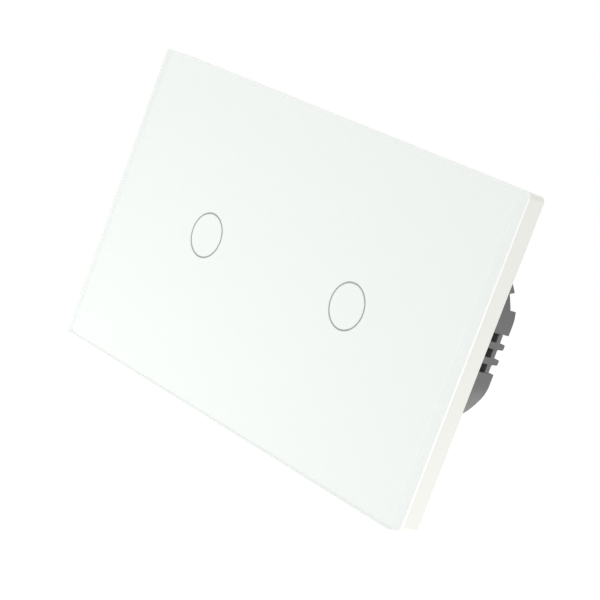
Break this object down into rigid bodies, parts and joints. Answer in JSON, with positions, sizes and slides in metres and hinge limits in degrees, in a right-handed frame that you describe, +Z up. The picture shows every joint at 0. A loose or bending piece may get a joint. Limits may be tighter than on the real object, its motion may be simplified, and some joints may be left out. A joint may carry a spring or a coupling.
{
  "type": "touch light switch",
  "caption": "Flat glass touch light switch with ring-marked sensing spots, a pull-off panel on a wall plate and a rear housing with screw terminals.",
  "frame": {"origin": "middle of the mounting plate's back face, on the wall surface, midway between the fixing slots", "axes": "+X right along the panel's long side seen from the front, +Y into the wall, +Z up; the glass faces -Y"},
  "size_m": [0.118, 0.037, 0.072],
  "materials": {
    "glass": "polished float glass",
    "white_sheet": "white sheet bonded behind the glass",
    "diffuser": "milky grey light diffuser",
    "frame_plastic": "fine satin moulded plastic, warm white",
    "zinc_steel": "zinc plated sheet steel",
    "carrier_plastic": "moulded plastic, dark grey",
    "board_laminate": "glass fibre board with green lacquer",
    "copper": "bare copper foil",
    "led_epoxy": "clear epoxy",
    "chip_epoxy": "moulded epoxy with tinned legs",
    "gold_pins": "gold plated pins in a black strip",
    "black_plastic": "moulded plastic, black",
    "relay_plastic": "moulded plastic, sealed",
    "film_epoxy": "potted box, yellow",
    "capacitor_sleeve": "shrunk sleeve over an aluminium can",
    "varistor_lacquer": "dipped epoxy lacquer, blue",
    "fuse_ceramic": "ceramic tube with plated caps",
    "screw_steel": "zinc plated steel",
    "housing_plastic": "moulded flame-proof plastic, mid grey",
    "brass": "pressed brass strip"
  },
  "bodies": {
    "module": {"mounting_plate": "zinc_steel", "front_carrier": "carrier_plastic", "touch_board": "board_laminate", "touch_pads": "copper", "indicator_leds": "led_epoxy", "touch_chip": "chip_epoxy", "pin_header": "gold_pins", "socket_strip": "black_plastic", "power_board": "board_laminate", "relay_left": "relay_plastic", "relay_right": "relay_plastic", "film_capacitor": "film_epoxy", "electrolytic_capacitor": "capacitor_sleeve", "varistor": "varistor_lacquer", "fuse": "fuse_ceramic", "board_screws": "screw_steel", "rear_housing": "housing_plastic", "housing_screws": "screw_steel", "terminal_block": "housing_plastic", "contact_bar_1": "brass", "contact_bar_2": "brass", "contact_bar_3": "brass"},
    "front_panel": {"glass_panel": "glass", "backing_sheet": "white_sheet", "diffuser_left": "diffuser", "diffuser_right": "diffuser", "panel_frame": "frame_plastic"},
    "screw_1": {"terminal_screw_1": "screw_steel"},
    "cage_1": {"wire_cage_1": "zinc_steel"},
    "screw_2": {"terminal_screw_2": "screw_steel"},
    "cage_2": {"wire_cage_2": "zinc_steel"},
    "screw_3": {"terminal_screw_3": "screw_steel"},
    "cage_3": {"wire_cage_3": "zinc_steel"}
  },
  "joints": [
    {"name": "panel_pull", "type": "slide", "parent": "module", "child": "front_panel", "axis": [0, -1, 0], "range_m": [0, 0.025]},
    {"name": "screw_turn_1", "type": "hinge", "parent": "module", "child": "screw_1", "pos_m": [0.03475, 0.0262, -0.0035], "axis": [0, -1, 0], "range_deg": [0, 1440]},
    {"name": "cage_rise_1", "type": "slide", "parent": "module", "child": "cage_1", "axis": [0, 1, 0], "range_m": [0, 0.0014]},
    {"name": "screw_turn_2", "type": "hinge", "parent": "module", "child": "screw_2", "pos_m": [0.03475, 0.0262, 0], "axis": [0, -1, 0], "range_deg": [0, 1440]},
    {"name": "cage_rise_2", "type": "slide", "parent": "module", "child": "cage_2", "axis": [0, 1, 0], "range_m": [0, 0.0014]},
    {"name": "screw_turn_3", "type": "hinge", "parent": "module", "child": "screw_3", "pos_m": [0.03475, 0.0262, 0.0035], "axis": [0, -1, 0], "range_deg": [0, 1440]},
    {"name": "cage_rise_3", "type": "slide", "parent": "module", "child": "cage_3", "axis": [0, 1, 0], "range_m": [0, 0.0014]}
  ],
  "couplings": [
    {"joint": "screw_turn_1", "follows": "cage_rise_1", "rad_per_m": 17952},
    {"joint": "screw_turn_2", "follows": "cage_rise_2", "rad_per_m": 17952},
    {"joint": "screw_turn_3", "follows": "cage_rise_3", "rad_per_m": 17952}
  ]
}
